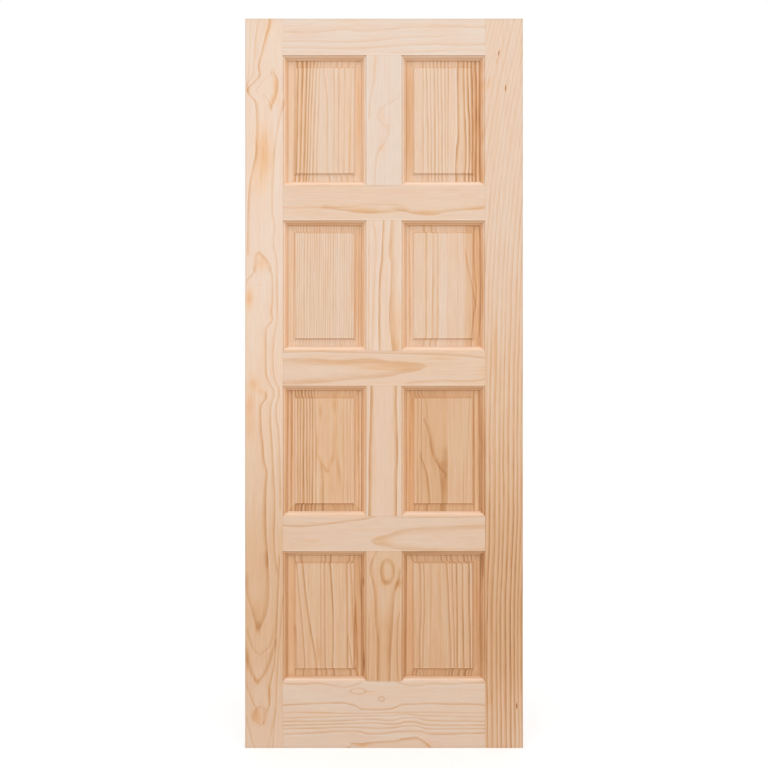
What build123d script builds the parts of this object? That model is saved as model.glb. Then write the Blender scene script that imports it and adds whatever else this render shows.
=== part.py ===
from build123d import *
import os

# Eight-panel door leaf of solid pine: two stiles, five rails, four mullions and eight raised panels.
# X runs across the leaf from the hinge edge, Y through its thickness from the front to the back,
# and Z up from its foot. The origin is on the hinge edge, at the foot, midway through the thickness.
# All sizes are in millimetres.

# Leaf
door_width = 800.0
door_height = 2100.0
door_thickness = 40.0
arris_radius = 1.5  # easing of the long outer corners of the stiles

# Flat faces of the frame members, between their moulded edges
stile_face = 108.5
mullion_face = 101.0
top_rail_face = 105.0
cross_rail_face = 100.8
bottom_rail_face = 191.8
panel_rows = 4

# Moulding worked on every edge that faces a panel: a quirk, an ovolo and a fillet, with a groove behind
quirk_depth = 2.5
ovolo_radius = 8.5
fillet_width = 4.0
groove_width = 13.0
groove_depth = 11.0  # back from the inner edge of the fillet
cope_clearance = 0.2  # hairline between an ovolo and the member coped over it

# Raised panels, the same on both faces
field_thickness = 30.0
shoulder_width = 5.5  # steep slope round the raised field
shoulder_drop = 7.5
shoulder_cove = 6.0  # radius where the shoulder runs out on the bevel
bevel_width = 16.0
tongue_reveal = 1.0  # flat of the tongue that stands clear of the groove
tongue_clearance = 0.2  # on each cheek of the tongue
movement_gap = 2.0  # room for the wood to swell, all round a panel

# Sizes that follow from those above
moulding_width = ovolo_radius + fillet_width
groove_floor = moulding_width - groove_depth  # from the edge of a face to the floor of its groove
rail_length = door_width - 2 * stile_face
opening_width = (rail_length - mullion_face) / 2
cross_rails = panel_rows - 1
rail_faces = top_rail_face + bottom_rail_face + cross_rails * cross_rail_face
opening_height = (door_height - rail_faces) / panel_rows
row_pitch = opening_height + cross_rail_face
panel_width = opening_width - 2 * (groove_floor + movement_gap)
panel_height = opening_height - 2 * (groove_floor + movement_gap)
tongue_thickness = groove_width - 2 * tongue_clearance
tongue_length = groove_depth + tongue_reveal


def moulded_edge(clearance=0.0):
    """Section of a moulded edge with its groove, growing along +X from the edge of a face.

    A clearance swells the ovolo alone, for the waste of a cope.
    """
    fillet_level = door_thickness / 2 - quirk_depth - ovolo_radius
    with BuildSketch() as section:
        with BuildLine():
            ovolo = CenterArc((0, fillet_level), ovolo_radius + clearance, 0, 90)
            Polyline(ovolo @ 0, (moulding_width, fillet_level), (moulding_width, 0), (0, 0), ovolo @ 1)
        make_face()
        mirror(about=Plane.XZ)
        with Locations((moulding_width, 0)):
            Rectangle(groove_depth, groove_width, align=(Align.MAX, Align.CENTER), mode=Mode.SUBTRACT)
    return section.sketch


def member_section(face, moulded_start, moulded_end):
    """Section of a frame member: X across its face from 0, Y through its thickness."""
    edge = moulded_edge()
    section = Rectangle(face, door_thickness, align=(Align.MIN, Align.CENTER))
    if moulded_end:
        section += Pos(face, 0) * edge
    if moulded_start:
        section += mirror(edge, about=Plane.YZ)
    return section


def stile():
    """Stile with its outer edge at X 0 and its moulded edge towards +X."""
    section = member_section(stile_face, moulded_start=False, moulded_end=True)
    outer_corners = section.vertices().group_by(Axis.X)[0]
    return extrude(fillet(outer_corners, arris_radius), door_height)


def cross_plane(height):
    """Plane across the leaf at a height, from the edge of the hinge stile's face, with its X up."""
    return Plane(origin=(stile_face, 0, height), x_dir=(0, 0, 1), z_dir=(1, 0, 0))


def rail(face, foot, moulded_below, moulded_above):
    """Rail whose face starts at height foot, coped over the moulded edges of both stiles."""
    section = member_section(face, moulded_below, moulded_above)
    hinge_cope = extrude(Pos(stile_face, 0) * moulded_edge(cope_clearance), door_height)
    lock_cope = mirror(hinge_cope, about=Plane.YZ.offset(door_width / 2))
    return extrude(cross_plane(foot) * section, rail_length) - [hinge_cope, lock_cope]


def mullion(foot):
    """Mullion between two rails, from height foot, coped over their moulded edges."""
    section = member_section(mullion_face, moulded_start=True, moulded_end=True)
    lower_cope = extrude(cross_plane(foot) * moulded_edge(cope_clearance), rail_length)
    upper_cope = mirror(lower_cope, about=Plane.XY.offset(foot + opening_height / 2))
    blank = extrude(Pos(stile_face + opening_width, 0, foot) * section, opening_height)
    return blank - [lower_cope, upper_cope]


def panel_waste(edge_length):
    """Waste along one edge of one face of a panel: the edge lies on X, the panel towards +Y."""
    field_level = field_thickness / 2
    tongue_level = tongue_thickness / 2
    shoulder_foot = (tongue_length + bevel_width, field_level - shoulder_drop)
    field_edge = (tongue_length + bevel_width + shoulder_width, field_level)
    with BuildSketch(Plane.YZ) as waste:
        with BuildLine():
            Polyline(
                (0, tongue_level),
                (tongue_length, tongue_level),
                shoulder_foot,
                field_edge,
                (0, field_level),
                close=True,
            )
        make_face()
        fillet(vertices().sort_by_distance(shoulder_foot)[0], radius=shoulder_cove)
    return extrude(waste.sketch, edge_length / 2, both=True)


def panel():
    """Raised panel, worked along all four edges of both faces, upright on the middle of its lower edge."""
    blank = Box(panel_width, panel_height, field_thickness)
    across = Pos(0, -panel_height / 2, 0) * panel_waste(panel_width)
    along = Pos(0, -panel_width / 2, 0) * panel_waste(panel_height)
    for turn, waste in ((0, across), (90, along), (180, across), (270, along)):
        worked_edge = Rot(0, 0, turn) * waste
        blank -= [worked_edge, mirror(worked_edge, about=Plane.XY)]
    return Pos(0, 0, panel_height / 2) * Rot(90, 0, 0) * blank


def build_door():
    """All the pieces of the leaf, by name."""
    hinge_stile = stile()
    low_foot = bottom_rail_face  # foot of the lowest row of panels, where the bottom rail's face ends
    low_cross_rail = rail(cross_rail_face, low_foot + opening_height, moulded_below=True, moulded_above=True)
    low_mullion = mullion(low_foot)
    upright_panel = panel()

    pieces = {
        "hinge_stile": hinge_stile,
        "lock_stile": mirror(hinge_stile, about=Plane.YZ.offset(door_width / 2)),
        "top_rail": rail(top_rail_face, door_height - top_rail_face, moulded_below=True, moulded_above=False),
        "bottom_rail": rail(bottom_rail_face, 0, moulded_below=False, moulded_above=True),
    }
    left_middle = stile_face + opening_width / 2
    middles = {"left": left_middle, "right": door_width - left_middle}
    for row in range(1, panel_rows + 1):
        lift = (panel_rows - row) * row_pitch
        if row < panel_rows:
            pieces[f"cross_rail_{row}"] = Pos(0, 0, lift - row_pitch) * low_cross_rail
        pieces[f"mullion_{row}"] = Pos(0, 0, lift) * low_mullion
        for side, middle in middles.items():
            seat = Pos(middle, 0, low_foot + lift + groove_floor + movement_gap)
            pieces[f"panel_{row}_{side}"] = seat * upright_panel
    return pieces


os.makedirs("parts", exist_ok=True)
for name, piece in build_door().items():
    export_step(piece, f"parts/{name}.step")
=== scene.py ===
import bmesh
import bpy
import math
from mathutils import Matrix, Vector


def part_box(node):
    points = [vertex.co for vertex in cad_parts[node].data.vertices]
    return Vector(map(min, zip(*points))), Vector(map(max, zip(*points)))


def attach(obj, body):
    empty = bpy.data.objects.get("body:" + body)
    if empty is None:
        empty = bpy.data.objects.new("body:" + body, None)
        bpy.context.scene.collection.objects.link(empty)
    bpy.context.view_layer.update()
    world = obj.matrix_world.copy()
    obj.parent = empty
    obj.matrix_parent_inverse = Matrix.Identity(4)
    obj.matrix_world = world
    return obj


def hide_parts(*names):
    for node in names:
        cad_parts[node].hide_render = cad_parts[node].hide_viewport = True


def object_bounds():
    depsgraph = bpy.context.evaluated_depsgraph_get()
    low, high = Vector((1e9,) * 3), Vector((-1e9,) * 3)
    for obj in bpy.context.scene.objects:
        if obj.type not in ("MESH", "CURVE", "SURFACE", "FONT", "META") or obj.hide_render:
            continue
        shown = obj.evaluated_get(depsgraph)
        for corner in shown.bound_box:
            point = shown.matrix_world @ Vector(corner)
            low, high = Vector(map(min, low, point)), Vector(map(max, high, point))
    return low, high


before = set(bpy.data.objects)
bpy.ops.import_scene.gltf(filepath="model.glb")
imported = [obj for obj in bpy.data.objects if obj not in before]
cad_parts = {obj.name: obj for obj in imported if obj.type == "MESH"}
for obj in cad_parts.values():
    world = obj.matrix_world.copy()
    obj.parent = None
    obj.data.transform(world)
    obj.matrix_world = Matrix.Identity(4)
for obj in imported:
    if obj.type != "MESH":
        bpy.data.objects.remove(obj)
cadLow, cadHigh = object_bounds()
print("frame loaded:", len(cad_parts), "nodes")

halfThick = (cadHigh.y - cadLow.y) / 2
leafMiddle = (cadLow + cadHigh) / 2
body = "root"

photo = {                   # the view that the leaf is rebuilt from, in its pixels
    "side": 768,
    "leafLeft": 245.05,
    "leafFoot": 748.05,
    "leafHigh": 729.5,
    "leafMiddle": (384.0, 383.3),
    "distance": 3.0,        # metres, from the camera to the front of the leaf
}
pixel = (cadHigh.z - cadLow.z) / photo["leafHigh"]      # metres

# lengths of shapes are metres; places of grain are pixels of that view, x to the right and y down

moulding = {                # worked on every edge that faces a panel
    "quirk": 0.0025,
    "ovolo": 0.0085,
    "ovoloSteps": 10,
    "roundStrip": 0.0016,   # widest strip of a rounded edge
    "fillet": 0.004,
    "groove": 0.013,        # width of the groove behind it
    "grooveDepth": 0.011,   # back from the inner edge of the fillet
    "easing": 0.0005,       # sanded corners
    "easingSteps": 2,
    "sharpAngle": math.radians(30),     # from here on a corner shades sharp
    "arris": 0.0015,        # outer corners of the stiles
    "arrisSteps": 4,
    "hairline": 0.00015,    # left in the coped joints
}
mouldingWidth = moulding["ovolo"] + moulding["fillet"]


def mouldedCorners(clear=0.0):
    # front half of a moulded edge: out from the face, level above the middle, radius, steps
    shoulder = halfThick - moulding["quirk"] + clear
    lip = shoulder - moulding["ovolo"]
    tongue = moulding["groove"] / 2
    floor = mouldingWidth - moulding["grooveDepth"]
    easing = (moulding["easing"], moulding["easingSteps"])
    return [
        (0, halfThick, *easing),
        (0, shoulder, 0, 0),
        (moulding["ovolo"] + clear, shoulder, moulding["ovolo"], moulding["ovoloSteps"]),
        (moulding["ovolo"] + clear, lip, 0, 0),
        (mouldingWidth + clear, lip, *easing),
        (mouldingWidth + clear, tongue, 0, 0),
        (floor + clear, tongue, 0, 0),
    ]


def plainCorners(radius, steps):
    return [(0, halfThick, radius, steps)]


def bothHalves(corners, edge, outward):
    # front half, then its mirror image on the back, set at an edge of the face
    front = [(edge + outward * out, -level, radius, steps) for out, level, radius, steps in corners]
    back = [(across, -level, radius, steps) for across, level, radius, steps in reversed(front)]
    return front + back


def extrudeSection(corners, length):
    # a section drawn across X and through Y, its corners rounded, then drawn out along Z
    mesh = bmesh.new()
    points = [mesh.verts.new((across, level, 0)) for across, level, radius, steps in corners]
    face = mesh.faces.new(points)
    for size in sorted({(radius, steps) for across, level, radius, steps in corners if radius}):
        rounded = [point for point, corner in zip(points, corners) if corner[2:] == size]
        bmesh.ops.bevel(mesh, geom=rounded, offset=size[0], offset_type="OFFSET", segments=size[1],
                        profile=0.5, affect="VERTICES", clamp_overlap=False, material=-1)
    bmesh.ops.remove_doubles(mesh, verts=mesh.verts, dist=1e-6)
    drawn = bmesh.ops.extrude_face_region(mesh, geom=list(mesh.faces))["geom"]
    ends = [part for part in drawn if isinstance(part, bmesh.types.BMVert)]
    bmesh.ops.translate(mesh, verts=ends, vec=(0, 0, length))
    return mesh


def makePiece(name, mesh, turn=None):
    if turn:
        bmesh.ops.transform(mesh, matrix=turn, verts=mesh.verts)
    bmesh.ops.recalc_face_normals(mesh, faces=mesh.faces)
    data = bpy.data.meshes.new(name)
    mesh.to_mesh(data)
    mesh.free()
    piece = bpy.data.objects.new(name, data)
    bpy.context.scene.collection.objects.link(piece)
    return piece


# a section's X becomes up
acrossToUp = Matrix(((0, 0, 1, 0), (0, 1, 0, 0), (1, 0, 0, 0), (0, 0, 0, 1)))


def copeCutter(edge, outward, start, length, turn=None):
    # the waste that lets one member sit over another's moulded edge
    clear = moulding["hairline"]
    corners = mouldedCorners(clear)[1:]
    corners[0] = (-mouldingWidth, *corners[0][1:])
    mesh = extrudeSection(bothHalves(corners, edge, outward), length)
    bmesh.ops.translate(mesh, verts=mesh.verts, vec=(0, 0, start))
    return makePiece("cutter", mesh, turn)


def cope(blank, cutters):
    for cutter in cutters:
        cut = blank.modifiers.new("cope", "BOOLEAN")
        cut.operation = "DIFFERENCE"
        cut.solver = "EXACT"
        cut.object = cutter
    shown = blank.evaluated_get(bpy.context.evaluated_depsgraph_get())
    coped = bpy.data.meshes.new_from_object(shown)
    blank.modifiers.clear()
    blank.data = coped
    for cutter in cutters:
        bpy.data.objects.remove(cutter)


def finishPiece(piece, node):
    data = piece.data
    data.set_sharp_from_angle(angle=moulding["sharpAngle"])
    mesh = bmesh.new()
    mesh.from_mesh(data)
    for face in mesh.faces:         # narrow strips make up the round edges, and the rest stays flat
        length = max(edge.calc_length() for edge in face.edges)
        face.smooth = face.calc_area() < moulding["roundStrip"] * length
    mesh.to_mesh(data)
    mesh.free()
    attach(piece, body)
    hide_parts(node)


def makeStile(name, node, mirrored):
    low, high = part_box(node)
    outer, inner, outward = low.x, high.x - mouldingWidth, 1
    if mirrored:
        outer, inner, outward = high.x, low.x + mouldingWidth, -1
    section = bothHalves(plainCorners(moulding["arris"], moulding["arrisSteps"]), outer, 1)
    section += list(reversed(bothHalves(mouldedCorners(), inner, outward)))
    piece = makePiece(name, extrudeSection(section, high.z - low.z))
    finishPiece(piece, node)
    print("made", name)
    edge = photo["leafLeft"] + inner / pixel
    return piece, (edge, None) if mirrored else (None, edge)


def makeRail(name, node, mouldedBelow, mouldedAbove):
    low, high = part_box(node)
    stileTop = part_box("hinge_stile")[1].z
    eased = plainCorners(moulding["easing"], moulding["easingSteps"])
    below = low.z + mouldingWidth * mouldedBelow
    above = high.z - mouldingWidth * mouldedAbove
    section = bothHalves(mouldedCorners() if mouldedBelow else eased, below, -1)
    section += list(reversed(bothHalves(mouldedCorners() if mouldedAbove else eased, above, 1)))
    gap = moulding["hairline"]
    mesh = extrudeSection(section, high.x - low.x - 2 * gap)
    bmesh.ops.translate(mesh, verts=mesh.verts, vec=(0, 0, low.x + gap))
    piece = makePiece(name, mesh, acrossToUp)
    cope(piece, [copeCutter(low.x, 1, -mouldingWidth, stileTop + 2 * mouldingWidth),
                 copeCutter(high.x, -1, -mouldingWidth, stileTop + 2 * mouldingWidth)])
    finishPiece(piece, node)
    print("made", name)
    return piece, (photo["leafFoot"] - above / pixel if mouldedAbove else None,
                   photo["leafFoot"] - below / pixel if mouldedBelow else None)


def makeMullion(name, node):
    low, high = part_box(node)
    left, right = low.x + mouldingWidth, high.x - mouldingWidth
    section = bothHalves(mouldedCorners(), left, -1)
    section += list(reversed(bothHalves(mouldedCorners(), right, 1)))
    gap = moulding["hairline"]
    mesh = extrudeSection(section, high.z - low.z - 2 * gap)
    bmesh.ops.translate(mesh, verts=mesh.verts, vec=(0, 0, low.z + gap))
    piece = makePiece(name, mesh)
    reach = high.x - low.x + 2 * mouldingWidth
    cope(piece, [copeCutter(low.z, 1, low.x - mouldingWidth, reach, acrossToUp),
                 copeCutter(high.z, -1, low.x - mouldingWidth, reach, acrossToUp)])
    finishPiece(piece, node)
    print("made", name)
    return piece, (photo["leafLeft"] + left / pixel, photo["leafLeft"] + right / pixel)


panelShape = {              # raised alike on both faces
    "tongue": 0.0126,       # thickness
    "tongueLength": 0.012,
    "bevel": 0.016,
    "shoulder": 0.0055,     # steep slope round the field
    "shoulderDrop": 0.0075,
    "cove": 0.0027,         # softened foot of that slope
    "coveSteps": 4,
    "easing": 0.0004,
    "easingSteps": 2,
}


def makePanel(name, node):
    low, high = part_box(node)
    size = high - low
    middle = (low + high) / 2
    bevelRise = size.y / 2 - panelShape["shoulderDrop"] - panelShape["tongue"] / 2
    mesh = bmesh.new()
    bmesh.ops.create_cube(mesh, size=1)
    bmesh.ops.scale(mesh, verts=mesh.verts, vec=(size.x, panelShape["tongue"], size.z))
    feet, rims = [], []
    for face in [side for side in mesh.faces if abs(side.normal.y) > 0.5]:
        for thickness, depth, loop in ((panelShape["tongueLength"], 0, None),
                                       (panelShape["bevel"], bevelRise, feet),
                                       (panelShape["shoulder"], panelShape["shoulderDrop"], rims)):
            bmesh.ops.inset_region(mesh, faces=[face], thickness=thickness, depth=depth,
                                   use_even_offset=True)
            if loop is not None:
                loop += list(face.edges)
    for loop, offset, steps in ((feet, panelShape["cove"], panelShape["coveSteps"]),
                                (rims, panelShape["easing"], panelShape["easingSteps"])):
        bmesh.ops.bevel(mesh, geom=loop, offset=offset, offset_type="OFFSET", segments=steps,
                        profile=0.5, affect="EDGES", clamp_overlap=True, material=-1)
    bmesh.ops.translate(mesh, verts=mesh.verts, vec=middle)
    piece = makePiece(name, mesh)
    finishPiece(piece, node)
    print("made", name)
    return piece, (photo["leafFoot"] - high.z / pixel, photo["leafFoot"] - low.z / pixel,
                   photo["leafLeft"] + low.x / pixel, photo["leafLeft"] + high.x / pixel)


class Wire:
    # one socket, so that shader maths is written as plain sums
    def __init__(self, tree, socket=None):
        self.tree = tree
        self.socket = socket

    def node(self, kind, settings=None, sockets=None, out=0):
        made = self.tree.nodes.new(kind)
        for key, value in (settings or {}).items():
            if key == "curve":
                points = made.mapping.curves[0].points
                for place in value[1:-1]:
                    points.new(*place)
                for point, place in zip(points, value):
                    point.location = place
                made.mapping.extend = "HORIZONTAL"
                made.mapping.update()
            elif key == "stops":
                stops = made.color_ramp.elements
                for place, colour in value[1:-1]:
                    stops.new(place)
                for stop, (place, colour) in zip(stops, value):
                    stop.position = place
                    stop.color = colour
            else:
                setattr(made, key, value)
        for key, value in (sockets or {}).items():
            if isinstance(value, Wire):
                self.tree.links.new(value.socket, made.inputs[key])
            else:
                made.inputs[key].default_value = value
        return Wire(self.tree, made.outputs[out] if made.outputs else None)

    def out(self, name):
        return Wire(self.tree, self.socket.node.outputs[name])

    def math(self, operation, first, second=0.0):
        return self.node("ShaderNodeMath", {"operation": operation}, {0: first, 1: second})

    def __add__(self, other):
        return self.math("ADD", self, other)

    __radd__ = __add__

    def __sub__(self, other):
        return self.math("SUBTRACT", self, other)

    def __rsub__(self, other):
        return self.math("SUBTRACT", other, self)

    def __mul__(self, other):
        return self.math("MULTIPLY", self, other)

    __rmul__ = __mul__

    def __truediv__(self, other):
        return self.math("DIVIDE", self, other)

    def __gt__(self, other):
        return self.math("GREATER_THAN", self, other)

    def __neg__(self):
        return self * -1

    def __abs__(self):
        return self.math("ABSOLUTE", self)

    def exponent(self):
        return self.math("EXPONENT", self)

    def fraction(self):
        return self.math("FRACT", self)

    def clamped(self):
        return self.node("ShaderNodeClamp", {}, {"Value": self})

    def ramp(self, low, high):
        return self.node("ShaderNodeMapRange", {"interpolation_type": "SMOOTHSTEP"},
                         {"Value": self, "From Min": low, "From Max": high})

    def follow(self, path):
        # this wire runs along a path of (place, value), and the result is the value there
        first, last = path[0], path[-1]
        length = last[0] - first[0]
        if len(path) == 2:
            return (self - first[0]) * ((last[1] - first[1]) / length) + first[1]
        low = min(value for place, value in path)
        span = max(value for place, value in path) - low or 1
        points = [((place - first[0]) / length, (value - low) / span) for place, value in path]
        share = (self - first[0]) / length
        return self.node("ShaderNodeFloatCurve", {"curve": points}, {"Value": share}) * span + low

    def blend(self, first, second, share, way="MIX"):
        # two colours; a plain value counts as a grey
        return self.node("ShaderNodeMix", {"data_type": "RGBA", "blend_type": way},
                         {0: share, 6: first, 7: second}, 2)


def tint(red, green, blue):
    # a colour as it looks on screen, made linear
    def linear(value):
        share = value / 255
        return share / 12.92 if share <= 0.04045 else ((share + 0.055) / 1.055) ** 2.4
    return (linear(red), linear(green), linear(blue), 1.0)


pine = {                    # bare sanded pine
    "tones": [              # from the palest earlywood to resin
        (0.0, tint(238, 221, 206)),
        (0.3, tint(238, 207, 179)),
        (0.6, tint(230, 186, 144)),
        (1.0, tint(207, 152, 103)),
        (1.6, tint(146, 96, 58)),
    ],
    "late": tint(170, 112, 66),         # latewood
    "lateWarm": 1.05,       # how far a line warms the wood
    "lateDark": 0.18,       # and darkens it
    "lateShade": 0.10,
    "lateUneven": 1.5,      # along a line
    "early": 0.35,          # pale side of a line, over its dark side
    "earlyWide": (0.5, 3.0),            # pixels, over which that side ends
    "edge": 1.0,            # pixels, sharp side of a line of latewood
    "flameEdge": 2.4,       # and of a flame
    "loopEdge": 0.7,        # and of a loop, over its soft side
    "soft": 1.4,            # all soft sides, times
    "fade": 8.0,            # pixels, over which such a line ends
    "runOut": 24.0,         # pixels; a line that ends this near the end of a panel doesn't fade
    "ripple": 0.7,          # pixels, unsteadiness of the lines
    "wander": 1.5,          # pixels, their sway, where a wood gives none
    "spread": 0.012,        # of lines with depth, where a wood gives no heart
    "light": [(0, 1.0), (1, 1.0)],      # along a wood that gives none
    "uneven": 0.16,         # soft changes of tone
    "blush": tint(255, 248, 246),
    "blushShare": (2.0, 0.4),           # how uneven it is, and how much of it there is
    "patchLight": 0.16,
    "patchUneven": 1.6,
    "figure": 0.34,         # fine figure of the fibres
    "broadFigure": 0.6,     # a broader one, over the fine one
    "fibreShade": 0.22,
    "fibreRough": 0.12,
    "endTone": 0.06,        # end grain takes the light deeper
    "endShade": 0.14,
    "roughness": 0.62,
    "lateGloss": 0.10,
    "specular": 0.25,
    "relief": 0.00010,      # metres
    "reliefStrength": 0.3,
    "edgeDarkening": 0.07,      # darker over the outer edges of the leaf
    "edgeDarkeningWide": 3.0,        # pixels
}
streaks = {                 # noise drawn out along the grain: width and length in pixels, number, detail
    "ripple": (7, 45, 1, 2.0),
    "wander": (30, 160, 2, 2.0),
    "fibre": (0.7, 16.0, 3, 3.0),
    "warmth": (16, 90, 5, 2.0),
    "late": (4, 26, 6, 2.0),
    "blush": (22, 70, 7, 2.0),
    "patch": (2.5, 30, 8, 2.0),
    "figure": (1.4, 55, 10, 2.0),
    "broadFigure": (4, 110, 11, 2.0),
    "bevelFigure": (1.1, 70, 12, 2.0),
}
growth = {                  # even rings, in years
    "late": (0.15, 0.85),   # latewood comes on
    "end": (0.86, 1.0),     # and ends
    "early": (0.0, 0.5),    # pale wood of the next year
    "earlyShare": 0.6,
    "uneven": 1.5,          # width of the years
    "unevenPace": 0.37,
    "strength": (2.2, -0.1),            # how strong a ring is, from year to year
    "strengthPace": 0.83,
}
recess = {                  # painted light and shade round a panel, the warm tone of that shade and a figure on the bevels: over it, beside it and under it
    "quirkTone": (0.28, 0.16, 0.0),
    "sunkTone": (0.10, 0.20, 0.0),      # painted warm shade, more of it towards the inner edge of a moulding
    "arrisLight": (0.10, 0.04, 0.0),    # painted highlight on the last pixel of a face
    "quirkLight": (-0.14, -0.13, 0.0),
    "ovoloLight": (-0.02, 0.06, 0.03),  # painted light and shade on its inner half
    "lipLight": (-0.08, 0.0, 0.0),      # painted shade where it meets the fillet
    "filletLight": (0.06, 0.03, 0.06),
    "gapLight": (-0.18, -0.07, 0.0),    # painted shade where a panel goes into its groove
    "bevelLight": (0.05, 0.06, 0.10),
    "shoulderLight": (0.0, 0.0, 0.0),   # painted light of a shoulder; a wood's foot may add to it
    "rimLight": (0.0, 0.0, 0.08),       # painted highlight on the edge of a raised field
    "gapTone": (0.12, 0.10, 0.0),
    "bevelTone": (0.11, 0.05, 0.02),
    "bevelFigure": 0.25,
}
bands = {                   # pixels from the edge of a face: where each painted light, shade or tone starts and ends
    "soft": 0.3,            # sides of a band
    "arrisLight": (-1.1, -0.1),
    "quirkLight": (0.0, 0.9),
    "ovoloLight": (1.5, 2.9),
    "lipLight": (2.6, 3.2),
    "filletLight": (2.9, 4.4),
    "gapLight": (2.2, 4.0),             # and from the edge of a panel
    "bevelLight": (4.2, 9.7),
    "shoulderLight": (9.7, 11.6),
    "rimLight": (11.6, 12.6),
    "gapTone": (2.0, 4.2),
    "bevelTone": (2.0, 11.4),
}
slopes = {                  # pixels from the edge of a face, over which the warm tone of a painted shade comes on
    "quirkTone": (-0.3, 0.6),
    "sunkTone": (0.6, 4.2),
    "sunk": (1.2, 3.2),     # the painted shade on one rail's own moulding
}


def pineMaterial(name, wood, upright, edges, level):
    material = bpy.data.materials.new(name)
    material.use_nodes = True
    tree = material.node_tree
    tree.nodes.clear()
    start = Wire(tree)
    place = start.node("ShaderNodeTexCoord", out="Object")
    place = start.node("ShaderNodeMapping", {"vector_type": "POINT"}, {
        "Vector": place, "Location": (photo["leafLeft"], halfThick / pixel, photo["leafFoot"]),
        "Scale": (1 / pixel, 1 / pixel, -1 / pixel)})
    split = start.node("ShaderNodeSeparateXYZ", {}, {"Vector": place})
    depth = split.out("Y")
    across, along = (split.out("X"), split.out("Z")) if upright else (split.out("Z"), split.out("X"))
    flat = start.node("ShaderNodeCombineXYZ", {}, {"X": split.out("X"), "Y": split.out("Z")})
    seed = wood["seed"]

    def noise(where, detail):
        return start.node("ShaderNodeTexNoise", {}, {"Vector": where, "Scale": 1.0, "Detail": detail})

    def streak(key):
        # from -0.5 to 0.5
        wide, long, number, detail = streaks[key]
        shift = seed * 7.31 + number * 3.7          # apart from other pieces and other streaks
        where = start.node("ShaderNodeCombineXYZ", {}, {
            "X": across / wide, "Y": depth / wide, "Z": along / long + shift})
        return noise(where, detail) - 0.5

    def reachFrom(x, y, wide, high, turn):
        # distance from a place on the face, 1 at half its width and half its height
        local = start.node("ShaderNodeMapping", {"vector_type": "TEXTURE"}, {
            "Vector": flat, "Location": (x, y, 0), "Rotation": (0, 0, math.radians(turn)),
            "Scale": (wide, high, 1)})
        return start.node("ShaderNodeVectorMath", {"operation": "LENGTH"}, {0: local}, "Value")

    def spot(*place):
        # soft, and 1 at its middle
        reach = reachFrom(*place)
        return (reach * reach * -1).exponent()

    # rings lean, so that their lines move sideways with depth, away from the heart of the tree
    heart, spread = wood.get("heart", (photo["leafMiddle"][0 if upright else 1], pine["spread"]))
    leaning = (across - heart) * (1 - (depth - level / pixel) * spread) + heart
    ripple = streak("ripple")
    grain = leaning + ripple * (2 * pine["ripple"]) + streak("wander") * wood.get("wander", pine["wander"])

    def line(soft, dark, path):
        # a line of latewood, soft towards the heart; three numbers to a point make a closed flame
        offset = grain - along.follow([point[:2] for point in path])
        edge, early = pine["edge"], pine["early"]
        if len(path[0]) == 3:
            offset = abs(offset) - along.follow([(point[0], point[2]) for point in path])
            edge, early = pine["flameEdge"], 0.0
        if soft < 0:
            offset = -offset
        inner = offset.ramp(-abs(soft) * pine["soft"], 0.0)
        shape = inner * inner * (1 - offset.ramp(0.0, edge))
        if early:
            shape = shape - offset.ramp(0.0, edge) * (1 - offset.ramp(*pine["earlyWide"])) * early
        first, last = path[0][0], path[-1][0]
        if not level or first - edges[0] > pine["runOut"]:
            shape = shape * along.ramp(first - pine["fade"], first)
        if not level or edges[1] - last > pine["runOut"]:
            shape = shape * (1 - along.ramp(last, last + pine["fade"]))
        return shape * dark

    def loop(x, y, wide, high, turn, soft, dark):
        # a line of latewood round a branch
        reach = reachFrom(x, y, wide, high, turn)
        offset = (reach - 1) * min(wide, high) + ripple * pine["ripple"]
        return offset.ramp(-soft, 0.0) * (1 - offset.ramp(0.0, soft * pine["loopEdge"])) * dark

    def rings(pitch, strength, drift):
        # even growth: its pitch across the grain, then strength and drift along it
        count = (grain + along.follow(drift)) / pitch
        where = start.node("ShaderNodeCombineXYZ", {}, {
            "X": count * growth["unevenPace"], "Y": seed * 1.7})
        share = (count + (noise(where, 1.0) - 0.5) * growth["uneven"]).fraction()
        rise = share.ramp(*growth["late"])
        pale = (1 - share.ramp(*growth["early"])) * growth["earlyShare"]
        ring = rise * rise * (1 - share.ramp(*growth["end"])) - pine["early"] * pale
        where = start.node("ShaderNodeCombineXYZ", {}, {
            "X": count * growth["strengthPace"], "Y": seed * 2.3 + 40})
        vary, least = growth["strength"]
        return ring * (noise(where, 1.0) * vary + least) * along.follow(strength)

    late = 0.0
    for values in wood.get("lines", ()):
        late = late + line(*values)
    first, last, straight = wood.get("straight", (0, 0, ()))
    for soft, dark, begin, end in straight:
        late = late + line(soft, dark, [(first, begin), (last, end)])
    for values in wood.get("loops", ()):
        late = late + loop(*values)
    if "rings" in wood:
        late = late + rings(*wood["rings"])
    late = late * (streak("late") * pine["lateUneven"] + 1.0) * wood.get("grain", 1.0)
    lateOnly = late.clamped()

    fibre = streak("fibre")
    figure = streak("figure") + streak("broadFigure") * pine["broadFigure"]
    stringy = streak("patch") * pine["patchUneven"] + 1.0
    warmth = streak("warmth") * pine["uneven"]
    for *patch, warm in wood.get("patches", ()):
        warmth = warmth + spot(*patch) * stringy * warm
    tone = along.follow(wood["tone"]) + warmth
    for first, last, warm in wood.get("staves", ()):
        tone = tone + (grain > first) * (1 - (grain > last)) * warm
    for *fleck, dark in wood.get("flecks", ()):
        tone = tone + spot(*fleck) * dark

    facing = start.node("ShaderNodeNewGeometry", out="Normal")
    facing = start.node("ShaderNodeSeparateXYZ", {}, {"Vector": facing})
    endGrain = abs(facing.out("Z" if upright else "X"))
    tone = tone + late * pine["lateWarm"] + endGrain * pine["endTone"]
    light = fibre * pine["fibreShade"] + along.follow(wood.get("light", pine["light"]))
    light = light - endGrain * pine["endShade"] - late * pine["lateShade"] + warmth * pine["patchLight"]
    # painted light and shade on the bevels
    for *shine, more in wood.get("shine", ()):
        light = light + spot(*shine) * more

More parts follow.
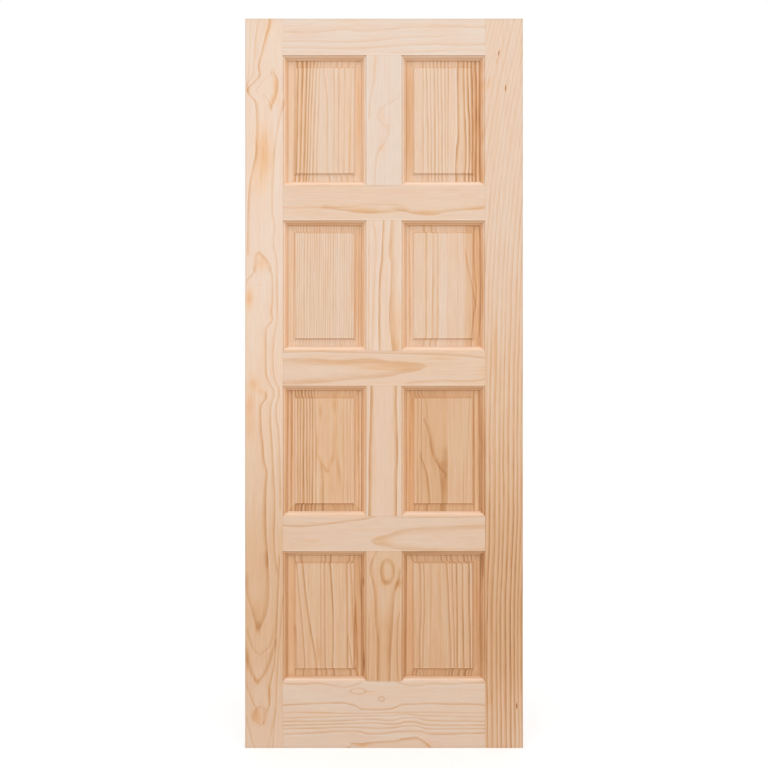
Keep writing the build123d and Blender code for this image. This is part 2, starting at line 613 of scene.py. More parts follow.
    def band(key, reach):
        first, last = bands[key]
        soft = bands["soft"]
        return reach.ramp(first - soft, first + soft) * (1 - reach.ramp(last - soft, last + soft))

    if level:                   # a panel
        head, foot = along - edges[0], edges[1] - along
        side = across.math("MINIMUM", across - edges[2], edges[3] - across)
        rim = side.math("MINIMUM", side, head.math("MINIMUM", head, foot))
        over, under = side > head, side > foot
        beside = 1 - over - under
        # painted light and shade in bands round the field, with the warm tone of that shade; a wood's foot
        # adds to those under it
        more = dict(zip(("bevelTone", "bevelLight", "shoulderLight"), wood.get("foot", ())))
        for key in ("gapLight", "bevelLight", "shoulderLight", "rimLight", "gapTone", "bevelTone"):
            top, sides, bottom = recess[key]
            strength = over * top + beside * sides + under * (bottom + more.get(key, 0.0))
            if "Light" in key:
                light = light + band(key, rim) * strength
            else:
                tone = tone + band(key, rim) * strength
        bevelFigure = streak("bevelFigure") * (recess["bevelFigure"] / pine["figure"])
        figure = figure + band("bevelTone", rim) * bevelFigure
    else:                       # a frame member
        sunkTone, sunkLight = wood.get("sunk", (0.0, 0.0))
        for edge, way, turn in ((edges[0], -1, 1 if upright else 2), (edges[1], 1, 1 if upright else 0)):
            if edge is None:
                continue
            beyond = (across - edge) * way
            # warm tone of painted shade in the quirk and the moulding
            for key in ("quirkTone", "sunkTone"):
                tone = tone + beyond.ramp(*slopes[key]) * recess[key][turn]
            # the painted shade on one rail's own moulding, as tone and light
            sunk = beyond.ramp(*slopes["sunk"])
            tone = tone + sunk * sunkTone
            light = light + sunk * sunkLight
            # painted highlight, light and shade in bands across the moulding
            for key in ("arrisLight", "quirkLight", "ovoloLight", "lipLight", "filletLight"):
                light = light + band(key, beyond) * recess[key][turn]
        left, foot = photo["leafLeft"], photo["leafFoot"]
        right, head = 2 * photo["leafMiddle"][0] - left, foot - photo["leafHigh"]
        # darker over the outer edges of the leaf
        for reach in (split.out("X") - left, right - split.out("X"),
                      split.out("Z") - head, foot - split.out("Z")):
            light = light - (1 - reach.ramp(0.0, pine["edgeDarkeningWide"])) * pine["edgeDarkening"]
    tone = tone + figure * pine["figure"]

    reach = pine["tones"][-1][0]
    stops = [(value / reach, colour) for value, colour in pine["tones"]]
    colour = start.node("ShaderNodeValToRGB", {"stops": stops}, {"Fac": tone / reach}, "Color")
    colour = start.blend(colour, pine["late"], lateOnly * pine["lateDark"])
    uneven, share = pine["blushShare"]
    rosy = (streak("blush") * uneven + share).clamped()
    colour = start.blend(colour, pine["blush"], rosy, "MULTIPLY")
    colour = start.blend(colour, light, 1.0, "MULTIPLY")

    roughness = fibre * pine["fibreRough"] + pine["roughness"] - lateOnly * pine["lateGloss"]
    relief = start.node("ShaderNodeBump", {}, {
        "Strength": pine["reliefStrength"], "Distance": pine["relief"],
        "Height": lateOnly + fibre}, "Normal")
    shader = start.node("ShaderNodeBsdfPrincipled", {}, {
        "Base Color": colour, "Roughness": roughness, "Normal": relief,
        "Specular IOR Level": pine["specular"]})
    start.node("ShaderNodeOutputMaterial", {}, {"Surface": shader})
    return material


def dress(made, wood, upright=True, level=0.0):
    piece, edges = made
    piece.data.materials.clear()
    piece.data.materials.append(pineMaterial("pine_" + piece.name, wood, upright, edges, level))


# what a wood says:
# heart: where it lies across the grain, and how far lines spread from it with depth
# light and tone: along the grain; grain: strength of all its lines; wander: their sway, in pixels
# lines of latewood: softness, darkness and a path of (along, across) or (along, middle, half width)
# straight ones: from and to along the grain; softness, darkness and both places across it
# loops of latewood: x, y, half width, half height, turn, softness and darkness
# rings: pitch, then strength and drift along the grain; staves: from, to and warmth
# patches, flecks and painted light and shade on the bevels: x, y, half width, half height, turn and
# warmth, or light for the last
# foot: painted shade as tone and light on the bevel under a field, and painted light of the shoulder there
# sunk: painted shade on a moulding, as tone and light

hingeStile = {
    "seed": 1,
    "heart": (262, 0.02),
    "light": [(18, 1.03), (100, 1.05), (240, 1.06), (350, 1.06), (420, 1.04), (480, 1.0), (560, 0.97),
              (640, 0.96), (748, 0.98)],
    "grain": 0.9,
    "tone": [(18, 0.16), (120, 0.14), (190, 0.13), (240, 0.12), (300, 0.17), (400, 0.28), (480, 0.37),
             (560, 0.49), (630, 0.50), (700, 0.36), (748, 0.28)],
    "lines": [
        (-2.0, 0.12, [(18, 250), (60, 249), (82, 247)]),
        (-2.5, 0.20, [(18, 258.5), (40, 255), (60, 253.5), (74, 252.5), (80, 249), (86, 246)]),
        (-3.5, 0.34, [(18, 269), (25, 268.5), (35, 265.5), (45, 263), (55, 260.5), (62, 258.5),
                      (68, 258), (74, 259), (80, 255), (86, 249.5), (90, 247)]),
        (-3.5, 0.30, [(90, 247), (94, 248.5), (98, 251.5), (103, 255), (112, 256), (130, 256.3),
                      (150, 256), (162, 254), (175, 251.5), (190, 249), (215, 248), (252, 247.2)]),
        (1.5, 0.22, [(74, 271.5), (80, 264), (86, 260), (90, 256.5), (93, 258), (95, 264.5),
                     (100, 268.5), (106, 272)]),
        (6.0, 0.24, [(74, 275), (78, 277.5), (82, 278.4), (88, 278.2), (94, 277), (100, 275.2),
                     (106, 272.5)]),
        (3.0, 0.22, [(104, 283.5), (118, 280.5), (130, 278), (142, 276), (155, 274.5), (170, 273.5),
                     (190, 272.7), (210, 272.7), (220, 274.2), (228, 275), (238, 274), (248, 274.5),
                     (264, 277.5), (300, 278), (318, 278), (330, 276), (345, 274), (360, 273.3),
                     (375, 274.5), (384, 277), (392, 279.5), (398, 279), (405, 277), (412, 276.5),
                     (425, 278), (440, 279.5), (505, 281)]),
        (4.0, 0.28, [(250, 259, -2), (252, 259, 0), (254, 259, 2.2), (257, 259.8, 4.2),
                     (262, 261.8, 6.3), (267, 262.3, 7.6)]),
        (-3.0, 0.30, [(272, 253.5), (275, 251), (280, 246.5)]),
        (3.0, 0.28, [(272, 271.2), (282, 273), (300, 273), (312, 272), (318, 273), (322, 271.5),
                     (326, 268.5), (330, 266.5), (340, 266), (362, 266), (372, 266.5), (380, 268.5),
                     (386, 271), (393, 274), (400, 273), (410, 271), (420, 271), (440, 272), (480, 274),
                     (500, 275), (540, 274.5), (556, 275.5), (568, 277.5)]),
        (3.5, 0.34, [(397, 266.5), (400, 265.5), (404, 262.5), (410, 261), (418, 261), (445, 263),
                     (458, 264), (466, 265.5), (474, 267), (482, 266.5), (507, 265.5), (530, 266),
                     (550, 267), (564, 268)]),
        (6.0, 0.24, [(556, 267.4), (570, 268.3), (585, 269), (600, 268.8), (610, 267.3), (617, 265.4),
                     (623, 262.8), (629, 260)]),
        (-5.0, 0.20, [(578, 245.5), (590, 246.6), (600, 248.8), (610, 251.6), (618, 254),
                      (626, 256.6)]),
        (2.0, 0.16, [(632, 261, 13), (640, 261, 10.6), (646, 260.8, 8.6), (650, 260.4, 5.6),
                     (652.5, 260, 3.2), (654.5, 260, 0), (656, 260, -2)]),
        (4.0, 0.26, [(644, 260, 15.6), (652, 259.6, 13.2), (659, 259, 11.6), (667, 258.6, 9.4),
                     (671, 258.4, 8), (677, 258, 4.2), (683, 257.6, 0), (686, 257.6, -2)]),
        (6.0, 0.14, [(705, 261, -1), (709, 260.5, 4), (713, 259.6, 6), (718, 259, 6.2), (722, 260.2, 4),
                     (725.5, 261.5, 0), (728, 261.5, -2)]),
        (-3.0, 0.20, [(686, 246.5), (695, 249.5), (702, 252.5), (708, 256)]),
        (2.5, 0.30, [(560, 279.5), (600, 278), (630, 276.5), (650, 275.6), (665, 274.4), (680, 271.4),
                     (692, 269.8), (703, 270.2), (708, 268)]),
        (2.0, 0.18, [(600, 283), (640, 280), (665, 278), (700, 276), (748, 273)]),
        (-3.0, 0.15, [(720, 246.5), (735, 250), (748, 254)]),
        (3.0, 0.15, [(712, 276), (730, 272), (748, 268.5)]),
    ],
    "patches": [
        (269.5, 25, 3.5, 16, 14, 0.26), (275.5, 88, 3.0, 13, -4, 0.30), (273.5, 100, 3.0, 6, 20, 0.26),
        (263, 150, 9, 22, -8, 0.42), (260, 178, 8, 20, 0, 0.26), (261.5, 263, 5, 8, 0, 0.36),
        (249, 298, 4, 9, 0, 0.44), (253, 384, 7, 6, 0, 0.24), (262, 392, 5, 3, 20, 0.20),
        (250, 404, 4, 10, 0, 0.24), (271, 312, 2.5, 9, 0, 0.15), (250, 424, 4, 14, 0, 0.16),
        (258, 625.5, 3.0, 4.5, 0, 0.30), (256, 612, 8, 12, 0, 0.14), (247, 662, 2.5, 9, 0, 0.25),
        (269.6, 693, 1.8, 9, 0, 0.30), (257, 716, 4.5, 7, 0, 0.32), (263.2, 723, 1.2, 1.4, 0, 0.3),
        (257.5, 681, 3, 3, 0, 0.2),
    ],
    "flecks": [(261, 285, 1.2, 1.2, 0, 0.25)],
}
lockStile = {
    "seed": 2,
    "heart": (700, 0.004),
    "light": [(18, 1.0), (450, 0.985), (600, 0.955), (700, 0.97), (748, 0.98)],
    "wander": 2.5,
    "tone": [(18, 0.20), (100, 0.20), (200, 0.23), (300, 0.27), (400, 0.38), (480, 0.51), (560, 0.60),
             (640, 0.63), (700, 0.51), (748, 0.40)],
    "rings": (4.4, [(18, 0.10), (250, 0.14), (330, 0.18), (460, 0.27), (560, 0.33), (650, 0.36),
                    (748, 0.32)],
              [(18, 0), (60, 10), (100, 18), (150, 26), (200, 32), (260, 36.5), (330, 39), (420, 40.5),
               (520, 41), (600, 43.5), (640, 44), (748, 43)]),
    "patches": [(494.5, 345, 2.2, 26, 0, 0.20), (487, 85, 3, 8, 30, 0.20), (488, 700, 2, 8, 0, 0.2),
                (492, 696, 1.2, 8, 0, 0.2)],
    "flecks": [(498.8, 53, 0.5, 2.6, 8, 1.6), (505.6, 88, 0.5, 2.8, 3, 1.6),
               (516.6, 706, 0.55, 2.4, 0, 1.7), (497, 61, 0.7, 4.5, 15, 0.4)],
}
rails = {
    "top_rail": {
        "seed": 3,
        "tone": [(282, 0.10), (485, 0.08)],
        "lines": [
            (3.0, 0.12, [(282, 31.5), (300, 32.5), (330, 31), (345, 29.5), (362, 31), (385, 30),
                         (400, 28.5), (430, 27), (485, 28)]),
            (3.0, 0.13, [(282, 42), (300, 41.5), (350, 42), (370, 41), (390, 39), (400, 38),
                         (440, 37)]),
            (3.0, 0.15, [(282, 48), (340, 48.5), (375, 47.5), (400, 46), (430, 44.5), (460, 45.5),
                         (485, 45)]),
            (3.0, 0.10, [(395, 53.5), (430, 52), (460, 51), (485, 51)]),
        ],
        "patches": [(350, 21, 14, 3, 0, 0.15), (300, 32, 16, 3, 0, 0.08), (437, 27, 12, 3, 0, 0.08)],
    },
    "cross_rail_1": {
        "seed": 4,
        "tone": [(282, 0.24), (385, 0.26), (485, 0.25)],
        "lines": [
            (3.0, 0.12, [(282, 208), (320, 207.5), (345, 207), (365, 205.5), (380, 205), (400, 206.5)]),
            (5.0, 0.22, [(326, 208.5), (345, 210.5), (360, 212.5), (372, 213), (385, 212.5),
                         (404, 211)]),
            (5.0, 0.20, [(398, 210), (408, 212.5), (418, 214.5), (430, 215), (440, 213.5), (450, 211.5),
                         (465, 210.5), (485, 208.5)]),
            (2.0, 0.14, [(300, 186), (345, 186.5), (385, 185.5)]),
        ],
        "patches": [(362, 210, 16, 3, 3, 0.26), (428, 212, 12, 2.5, 0, 0.22),
                    (475, 208.5, 12, 2, 0, 0.20), (305, 210, 20, 3, 0, 0.10)],
    },
    "cross_rail_2": {
        "seed": 5,
        "tone": [(282, 0.20), (340, 0.24), (485, 0.30)],
        "lines": [
            (8.0, 0.20, [(282, 372.2, 12.8), (310, 371.3, 11.7), (340, 370.2, 9.3), (372, 368.5, 9),
                         (388, 368.7, 6.9), (400, 367.8, 5.3), (412, 367.2, 3.8), (420, 366.8, 2.3),
                         (425, 366.3, 0), (428, 366.3, -2)]),
            (3.0, 0.20, [(282, 353), (310, 352), (350, 352.5), (400, 353.5), (440, 355), (465, 356.5),
                         (485, 358.5)]),
            (-3.0, 0.16, [(410, 382), (430, 380), (445, 379.5), (460, 380.5), (485, 378)]),
        ],
        "patches": [(385, 367, 34, 5, 0, 0.24), (440, 357.5, 18, 2.5, 4, 0.14),
                    (484, 372, 6, 8, 0, 0.16), (330, 363, 20, 3, 0, 0.12)],
    },
    "cross_rail_3": {
        "seed": 6,
        "light": [(282, 0.97), (485, 0.97)],
        "tone": [(282, 0.30), (380, 0.26), (485, 0.28)],
        "lines": [
            (6.0, 0.19, [(369, 541, -2), (372, 541, 0), (375, 541.3, 2.3), (380, 541, 3.7),
                         (390, 540.7, 6), (400, 539.8, 8.7), (410, 539.5, 10), (430, 539.5, 11.5),
                         (485, 538.5, 13)]),
            (3.0, 0.24, [(282, 526), (300, 526.5), (315, 525.5), (335, 523.5), (350, 521.5), (362, 520),
                         (372, 518)]),
            (2.5, 0.16, [(396, 517.8), (440, 517.5), (485, 516.8)]),
        ],
        "patches": [(383, 541, 9, 3.5, 8, 0.18), (311, 540.3, 8, 1.2, 0, 0.25),
                    (435, 536.5, 6, 1.0, 0, 0.14)],
    },
    "bottom_rail": {
        "seed": 7,
        # painted shade on its moulding
        "sunk": (0.26, -0.08),
        "light": [(282, 0.975), (485, 0.975)],
        "tone": [(282, 0.22), (385, 0.20), (440, 0.20), (485, 0.28)],
        "lines": [
            (2.5, 0.20, [(282, 683.5), (300, 684.5), (315, 683.5), (335, 686), (345, 687), (355, 685),
                         (362, 682), (370, 679)]),
            (2.5, 0.20, [(390, 679), (396, 682), (402, 684.5), (415, 686), (430, 684.5), (450, 685),
                         (470, 683.5), (485, 683)]),
            (2.5, 0.30, [(282, 705.5), (300, 704.5), (320, 703.5), (340, 703), (350, 704.5), (357, 707),
                         (362, 709.5), (375, 710), (388, 709.5), (395, 708), (402, 705.5), (415, 704.5),
                         (430, 704), (450, 704.5), (470, 704.5), (485, 706)]),
            (2.0, 0.18, [(282, 713.5), (305, 712.5), (325, 713), (345, 713.5), (400, 712.5),
                         (430, 712.5), (485, 713.5)]),
            (2.0, 0.20, [(282, 718.5), (320, 717.5), (350, 716.5), (390, 716), (405, 714.5), (420, 716),
                         (440, 716.5), (485, 717)]),
            (2.0, 0.26, [(282, 722), (320, 721.5), (350, 720.5), (370, 719.5), (390, 720.5), (400, 719),
                         (410, 718), (420, 719), (430, 720.5), (485, 721.5)]),
            (2.0, 0.26, [(282, 726), (320, 725), (350, 724), (372, 723.5), (392, 724.5), (402, 723),
                         (410, 722), (420, 723.5), (430, 725), (485, 725.5)]),
            (2.0, 0.26, [(282, 729.5), (320, 728.5), (350, 727.5), (375, 728.5), (392, 728),
                         (402, 726.5), (412, 726), (422, 727.5), (430, 729), (485, 729)]),
            (2.5, 0.26, [(282, 735), (320, 733), (350, 731.5), (362, 732.5), (372, 734.5), (382, 734),
                         (392, 732.5), (405, 731.5), (418, 731.5), (425, 733), (435, 734.5), (460, 734),
                         (485, 733)]),
            (-4.0, 0.32, [(350, 747), (352, 743), (360, 743.5), (370, 742), (385, 741), (395, 740.5),
                          (402, 738.5), (410, 737.5), (416, 737), (420, 738.5), (424, 741), (428, 744),
                          (431, 748)]),
        ],
        "loops": [(358, 691, 8, 3, 0, 1.5, 0.18), (381.5, 699, 2.9, 2.5, 0, 1.2, 0.34)],
        "patches": [(371, 692, 4, 0.9, 0, 0.25), (320, 713, 14, 1.5, 0, 0.18),
                    (364, 745.5, 7, 2.5, 0, 0.22), (429, 744, 5, 3, 0, 0.22)],
    },
}
mullions = {
    "mullion_1": {
        "seed": 8,
        "tone": [(54, 0.06), (185, 0.07)],
        "lines": [
            (-3.0, 0.14, [(55, 375.5), (65, 374.5), (78, 373.5), (88, 371.5), (100, 369.5),
                          (115, 368.5)]),
            (4.0, 0.12, [(98, 399), (101, 394), (104, 389), (108, 383), (111, 380.6), (115, 379.2),
                         (118, 379.8), (121.5, 381.6), (124, 383.6), (126.5, 387.5)]),
            (3.5, 0.13, [(125, 389.4), (134, 389), (141.5, 386), (147.7, 381.6), (152.7, 378.5),
                         (160, 377), (173, 376), (184, 375.4)]),
        ],
        "patches": [(374, 68, 2.2, 14, 0, 0.20), (381, 113, 3, 6, 12, 0.14),
                    (382, 147.5, 3, 4, 24, 0.20), (384.6, 119, 1.6, 4, -10, 0.20),
                    (387, 125.4, 3, 1.4, 0, 0.18), (388.8, 119.3, 0.9, 0.9, 0, 0.25)],
    },
    "mullion_2": {
        "seed": 9,
        "light": [(219, 1.03), (351, 1.03)],
        "tone": [(219, 0.17), (351, 0.22)],
        "lines": [
            (-2.6, 0.44, [(220, 383.2), (240, 382.2), (258, 381.4), (272, 380), (285, 379.2),
                          (300, 378.8), (318, 378.8), (335, 379), (351, 379.2)]),
            (3.0, 0.14, [(225, 373), (250, 376), (270, 375.5), (300, 374), (351, 373)]),
            (-7.0, 0.26, [(220, 391), (240, 390), (252, 389), (265, 391), (290, 390.5), (310, 389.5),
                          (325, 390), (338, 391.5), (351, 392.5)]),
            (2.0, 0.16, [(220, 369.5), (351, 369)]),
        ],
        "patches": [(396, 325, 6, 24, 0, 0.24), (396, 347, 5, 8, 0, 0.20),
                    (390, 248, 1.8, 14, 0, 0.12)],
    },
    "mullion_3": {
        "seed": 10,
        "tone": [(385, 0.30), (517, 0.30)],
        "lines": [
            (-4.0, 0.46, [(386, 370.8), (400, 370.6), (425, 370.2), (440, 369.6), (460, 369),
                          (480, 368.9), (516, 368.5)]),
            (4.0, 0.42, [(386, 396.6), (410, 396.9), (430, 397.5), (450, 397.9), (470, 397.4),
                         (490, 397), (516, 396.6)]),
        ],
        "patches": [(384, 450, 6, 60, 0, -0.04)],
    },
    "mullion_4": {
        "seed": 11,
        "light": [(550, 0.96), (680, 0.96)],
        "tone": [(550, 0.46), (600, 0.50), (640, 0.60), (680, 0.60)],
        "lines": [
            (-3.5, 0.24, [(551, 375.5), (557, 373.4), (563, 371), (569, 370.3), (580, 372),
                          (598, 374.6), (623, 375.6), (642, 377), (680, 377)]),
            (4.5, 0.26, [(573, 400.5), (579, 399.5), (584, 397.8), (589, 396), (594, 394.6),
                         (610, 393.6), (629, 392.2), (648, 391), (680, 390.2)]),
            (1.5, 0.22, [(616, 399.5), (630, 398), (655, 397.6), (680, 399)]),
            (2.0, 0.16, [(620, 369.5), (650, 369), (680, 368)]),
        ],
        "loops": [(387.3, 571.5, 6.6, 11.5, 0, 3.0, 0.20)],
        "patches": [
            (382.6, 573, 2.2, 9, -6, 0.30), (385.3, 582.5, 3.6, 3.2, 0, 0.34),
            (393.5, 569, 1.6, 7, 8, 0.14), (398.4, 584, 2.6, 5, 24, 0.55), (375, 600, 2.5, 36, 2, 0.14),
            (378.4, 650, 2.2, 32, 0, 0.18), (388.6, 648, 2.4, 30, 0, 0.16), (384, 600, 5, 14, 0, -0.08),
        ],
        "flecks": [(363.2, 582, 0.9, 4.5, 0, 0.45), (364, 663, 1.0, 10, 0, 0.6)],
    },
}
panels = {
    "panel_1_left": {
        "seed": 12,
        "heart": (310, 0.035),
        "tone": [(55, 0.27), (185, 0.27)],
        "straight": (66, 170, [
            (3.0, 0.40, 298.6, 296.6), (2.5, 0.42, 303.4, 300.4), (2.2, 0.46, 307.1, 304.6),
            (2.0, 0.38, 310.3, 307.2), (1.8, 0.34, 313.4, 309.8), (1.8, 0.30, 316.5, 313.4),
            (1.5, 0.20, 319.6, 317), (1.5, 0.18, 334, 334), (1.5, 0.17, 339, 338.4),
            (1.5, 0.16, 345, 344), (1.5, 0.15, 351.5, 349.6),
        ]),
        "lines": [
            (1.5, 0.20, [(66, 322.5), (73, 324.6), (104, 327.1), (166, 327.8)]),
        ],
        "patches": [(302, 120, 5.5, 90, 1, 0.24), (350, 150, 3, 30, 0, 0.14),
                    (359, 115, 3.5, 80, 0, 0.22), (359.5, 112, 2, 26, 0, 0.14),
                    (291, 120, 4, 60, 0, 0.04), (331, 120, 8, 60, 0, -0.04)],
        "shine": [(359, 120, 4, 110, 0, -0.04)],
    },
    "panel_1_right": {
        "seed": 13,
        "heart": (440, 0.006),
        "tone": [(55, 0.28), (185, 0.28)],
        "straight": (70, 172, [
            (1.5, 0.24, 423.5, 423), (1.5, 0.26, 427, 428.5), (1.5, 0.22, 430.5, 431.5),
            (1.5, 0.32, 434.5, 435.5), (1.5, 0.26, 438, 439), (1.5, 0.30, 441.5, 442.5),
            (1.5, 0.24, 445, 446), (1.5, 0.24, 448.5, 448),
        ]),
        "lines": [
            (-2.5, 0.44, [(70, 457.5), (100, 458), (130, 458.3), (150, 456.8), (172, 455.8)]),
            (2.5, 0.46, [(70, 463.8), (105, 464.8), (130, 466), (150, 466.2), (172, 465)]),
            (2.0, 0.50, [(70, 467.5), (105, 469), (135, 470), (172, 469)]),
            (2.5, 0.50, [(70, 471.5), (110, 472.5), (172, 472.5)]),
            (3.0, 0.50, [(70, 475.5), (120, 476.5), (172, 476)]),
            (2.0, 0.40, [(62, 479.5), (172, 480)]),
        ],
        "patches": [(409, 120, 4, 80, 0, 0.38), (468, 120, 9, 90, 0, 0.14), (478, 130, 5, 90, 0, 0.36)],
        "shine": [(409, 120, 4.5, 110, 0, -0.07), (478, 120, 5, 110, 0, -0.05)],
    },
    "panel_2_left": {
        "seed": 14,
        "heart": (325, 0.02),
        "tone": [(220, 0.26), (351, 0.26)],
        "rings": (2.35, [(220, 0.22), (351, 0.20)], [(220, 0), (351, 1)]),
        "patches": [(358.5, 290, 4.5, 90, 0, 0.28), (291, 290, 4, 80, 0, 0.04),
                    (317, 240, 4, 24, 0, 0.10), (340, 285, 6, 50, 0, -0.06)],
        "shine": [(358.5, 290, 4.5, 110, 0, -0.05)],
    },
    "panel_2_right": {
        "seed": 15,
        "heart": (470, 0.02),
        "tone": [(220, 0.32), (351, 0.32)],
        "staves": [(439, 448, -0.10), (448, 465.3, -0.03), (465.3, 490, 0.20)],
        "straight": (225, 338, [
            (1.5, 0.26, 413, 413.5), (2.0, 0.22, 427, 426.5), (3.0, 0.14, 438.5, 438.5),
            (1.0, 0.10, 448, 448), (1.5, 0.12, 458, 458), (1.0, 0.16, 464, 464.3),
        ]),
        "lines": [
            (-2.0, 0.26, [(236, 433.3), (338, 432)]),
            (1.5, 0.28, [(225, 474.5), (250, 474), (275, 475), (295, 476), (315, 474), (338, 471.5)]),
            (1.5, 0.22, [(225, 478), (250, 480), (300, 480), (338, 478)]),
            (1.5, 0.20, [(255, 466.5), (265, 468), (275, 470), (290, 473), (300, 475)]),
        ],
        "patches": [(411, 290, 3, 80, 0, 0.02), (479, 290, 5, 90, 0, 0.18)],
    },
    "panel_3_left": {
        "seed": 16,
        "heart": (326, 0.03),
        "foot": (0.16, -0.06, 0.02),
        "tone": [(386, 0.50), (517, 0.52)],
        "straight": (395, 505, [
            (2.0, 0.28, 291, 290), (2.0, 0.42, 294.5, 294.5), (2.0, 0.32, 298, 298),
            (2.0, 0.35, 300.8, 300.5), (2.5, 0.46, 304, 304), (2.0, 0.38, 307.2, 307.3),
            (2.0, 0.35, 310.3, 309.7), (2.0, 0.35, 313, 312.7), (2.0, 0.25, 315.5, 316.3),
            (1.5, 0.12, 344, 343.5), (1.5, 0.12, 347.5, 347.5), (1.5, 0.12, 350.5, 350.5),
            (1.5, 0.30, 356, 356), (1.5, 0.30, 359, 358.7), (1.5, 0.36, 361.5, 361.5),
        ]),
        "lines": [
            (2.0, 0.22, [(470, 321.5), (480, 322.8), (490, 323.3), (503, 323.5)]),
        ],
        "patches": [
            (320.6, 412, 1.8, 7, 0, 0.20), (317.2, 442, 1.8, 15, 0, 0.24),
            (319.6, 460, 1.8, 7, -22, 0.24), (323.6, 467, 1.8, 5, -38, 0.22), (327, 471, 3, 2, 0, 0.18),
            (331.6, 461, 1.8, 8, 20, 0.22), (334.6, 438, 1.8, 16, 5, 0.18),
            (334.4, 405, 2.4, 10, 0, 0.30), (322.8, 490, 1.6, 22, 2, 0.22),
            (339, 472, 1.6, 13, -8, 0.24), (331, 490, 7, 16, 0, 0.08),
        ],
    },
    "panel_3_right": {
        "seed": 17,
        "light": [(386, 0.97), (517, 0.97)],
        "heart": (470, 0.02),
        "foot": (0.06, -0.02, 0.04),
        "tone": [(386, 0.60), (517, 0.62)],
        "staves": [(447.6, 490, -0.08)],
        "straight": (395, 505, [
            (1.5, 0.14, 414.3, 413.8), (1.5, 0.16, 418, 418), (1.2, 0.20, 421.7, 421.7),
            (1.5, 0.16, 470, 466), (1.5, 0.30, 474.5, 474.5), (1.5, 0.36, 479, 479.5),
        ]),
        "lines": [
            (1.5, 0.20, [(393, 425), (400, 426.3), (407, 427.2), (414, 427.6)]),
            (-4.0, 0.17, [(422, 423.9), (426.5, 426.6), (436.5, 429), (449, 431), (459, 433.8),
                          (465, 437.3), (470, 441), (474, 445)]),
            (-5.0, 0.14, [(462, 436), (468, 438.8), (478, 440.4), (490, 441.2), (505, 441.8)]),
            (7.0, 0.14, [(452, 447.4), (505, 447.4)]),
            (2.2, 0.22, [(457, 421.6), (460, 422.5), (467, 425), (477, 427.6), (490, 428.9),
                         (504, 430)]),
            (1.5, 0.16, [(465, 464), (505, 463.5)]),
        ],
        "patches": [(410, 450, 4, 90, 0, 0.17), (478, 450, 5, 80, 0, 0.08),
                    (443.5, 484, 4, 26, 0, 0.22), (442, 465, 4.5, 5, 24, 0.22),
                    (431, 446, 2.5, 16, -8, 0.26), (427, 482, 2.0, 16, -8, 0.12)],
        "shine": [(410, 450, 5, 120, 0, 0.11), (478, 450, 5, 120, 0, 0.03)],
    },
    "panel_4_left": {
        "seed": 18,
        "light": [(551, 0.97), (680, 0.965)],
        "heart": (315, 0.03),
        "foot": (0.06, -0.03, 0.09),
        "tone": [(551, 0.49), (680, 0.51)],
        "staves": [(320.8, 490, 0.03)],
        "lines": [
            (1.5, 0.26, [(560, 296.5), (590, 299), (620, 302), (650, 304), (668, 304.5)]),
            (2.2, 0.32, [(563, 302.8), (583, 304.6), (608, 307.8), (630, 310.9), (646, 314),
                         (665, 316.6)]),
            (1.0, 0.20, [(575, 320.8), (668, 321)]),
            (1.5, 0.26, [(563, 324.5), (668, 325.5)]),
            (1.8, 0.42, [(560, 329.5), (580, 331.5), (610, 333), (640, 333), (668, 332.5)]),
            (1.8, 0.30, [(562, 346.5), (614, 347.2), (668, 347.8)]),
            (1.5, 0.26, [(564, 350.3), (614, 352.6), (668, 354)]),
            (1.5, 0.22, [(640, 348.4), (665, 352)]),
            (1.5, 0.22, [(562, 354.6), (614, 358.6), (660, 361.5)]),
            (2.2, 0.32, [(560, 357.3), (668, 359)]),
            (1.5, 0.24, [(630, 296), (668, 297)]),
        ],
        "patches": [(318, 652, 3, 13, -4, 0.22), (358, 620, 5, 70, 0, 0.22),
                    (291, 610, 4, 70, 0, 0.14)],
        "shine": [(291, 615, 5, 120, 0, 0.05)],
    },
    "panel_4_right": {
        "seed": 19,
        "light": [(551, 0.95), (680, 0.95)],
        "heart": (620, 0.0107),
        "foot": (0.10, -0.05, 0.07),
        "tone": [(551, 0.53), (680, 0.58)],
        "lines": [
            (2.0, 0.36, [(555, 407), (672, 406)]),
            (2.0, 0.26, [(565, 413.5), (668, 412.5)]),
            (1.5, 0.30, [(562, 419), (600, 421), (640, 420), (668, 419.8)]),
            (1.5, 0.26, [(562, 423.5), (600, 424.5), (640, 423.5), (668, 423)]),
            (1.2, 0.13, [(565, 431), (668, 430)]),
            (1.2, 0.11, [(570, 440), (668, 440.5)]),
            (1.5, 0.32, [(562, 447), (600, 448.5), (640, 450.5), (668, 451.5)]),
            (1.2, 0.30, [(562, 452.5), (600, 453), (640, 454.5), (668, 455)]),
            (1.8, 0.42, [(562, 457.2), (600, 457.5), (640, 457.8), (668, 458)]),
            (1.5, 0.35, [(562, 463), (620, 463.3), (668, 464.5)]),
            (2.2, 0.48, [(562, 469.8), (620, 470), (668, 470.5)]),
            (1.2, 0.30, [(562, 473), (668, 473.5)]),
            (1.5, 0.30, [(562, 476.5), (668, 476.5)]),
        ],
        "patches": [(478, 615, 4, 70, 0, 0.28), (409, 615, 4, 70, 0, 0.14)],
        "shine": [(409, 615, 5, 120, 0, 0.05)],
    },
}

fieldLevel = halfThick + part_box("panel_1_left")[0].y        # depth of the raised fields
dress(makeStile("leaf_hinge_stile", "hinge_stile", False), hingeStile)
dress(makeStile("leaf_lock_stile", "lock_stile", True), lockStile)
for node, wood in rails.items():
    dress(makeRail("leaf_" + node, node, node != "bottom_rail", node != "top_rail"), wood, False)
for node, wood in mullions.items():
    dress(makeMullion("leaf_" + node, node), wood)
for node, wood in panels.items():
    dress(makePanel("leaf_" + node, node), wood, True, fieldLevel)

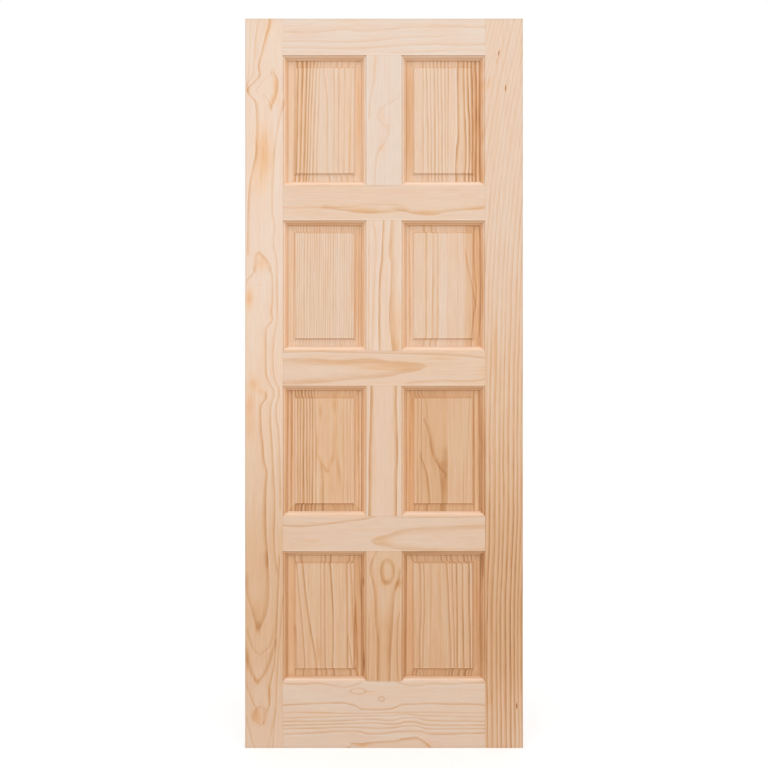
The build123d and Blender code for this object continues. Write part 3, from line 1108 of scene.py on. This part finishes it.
studio = {
    "sky": 0.90,            # even light from all round
    "boxPlace": (2.0, -3.0, 10.0),      # of two soft lamps overhead, one at each side
    "boxSize": (5.0, 4.0),
    "boxPower": 147.0,
    "floorSize": 9.0,
    "floorWhite": 0.65,
    "floorGlow": 0.36,      # only as it is seen, over the light that falls on it
}


def seenShare(start):
    # 1 for what the camera sees, straight or in a gloss, and 0 for light on its way
    path = start.node("ShaderNodeLightPath", out="Is Camera Ray")
    return (path + path.out("Is Glossy Ray") + path.out("Is Transmission Ray")).clamped()


def makeStudio():
    scene = bpy.context.scene
    scene.view_settings.view_transform = "Standard"
    world = bpy.data.worlds.new("studio")
    world.use_nodes = True
    world.node_tree.nodes.clear()
    scene.world = world
    start = Wire(world.node_tree)
    strength = seenShare(start) * (1 - studio["sky"]) + studio["sky"]
    back = start.node("ShaderNodeBackground", {}, {"Color": (1, 1, 1, 1), "Strength": strength})
    start.node("ShaderNodeOutputWorld", {}, {"Surface": back})

    for side in (-1, 1):
        light = bpy.data.lights.new("softbox", "AREA")
        light.shape = "RECTANGLE"
        light.size, light.size_y = studio["boxSize"]
        light.energy = studio["boxPower"]
        lamp = bpy.data.objects.new("softbox", light)
        across, out, up = studio["boxPlace"]
        lamp.location = (leafMiddle.x + side * across, out, up)
        lamp.rotation_euler = (leafMiddle - lamp.location).to_track_quat("-Z", "Y").to_euler()
        scene.collection.objects.link(lamp)

    mesh = bmesh.new()
    bmesh.ops.create_grid(mesh, x_segments=1, y_segments=1, size=studio["floorSize"] / 2)
    bmesh.ops.translate(mesh, verts=mesh.verts, vec=(leafMiddle.x, 0, cadLow.z))
    floor = makePiece("floor", mesh)
    material = bpy.data.materials.new("floor_white")
    material.use_nodes = True
    material.node_tree.nodes.clear()
    start = Wire(material.node_tree)
    white = studio["floorWhite"]
    matt = start.node("ShaderNodeBsdfDiffuse", {}, {"Color": (white, white, white, 1)})
    glow = start.node("ShaderNodeEmission", {}, {"Strength": seenShare(start) * studio["floorGlow"]})
    both = start.node("ShaderNodeAddShader", {}, {0: matt, 1: glow})
    start.node("ShaderNodeOutputMaterial", {}, {"Surface": both})
    floor.data.materials.append(material)
    print("studio set")


def makeCamera():
    lens = bpy.data.cameras.new("camera")
    camera = bpy.data.objects.new("camera", lens)
    offX = (photo["side"] / 2 - photo["leafMiddle"][0]) * pixel
    offZ = (photo["side"] / 2 - photo["leafMiddle"][1]) * pixel
    camera.location = (leafMiddle.x + offX, cadLow.y - photo["distance"], leafMiddle.z - offZ)
    camera.rotation_euler = (math.pi / 2, 0, 0)
    lens.sensor_width = 36.0            # millimetres
    lens.lens = lens.sensor_width * photo["distance"] / (photo["side"] * pixel)
    bpy.context.scene.collection.objects.link(camera)
    bpy.context.scene.camera = camera
    print("camera set, lens", round(lens.lens, 1))


makeStudio()
makeCamera()
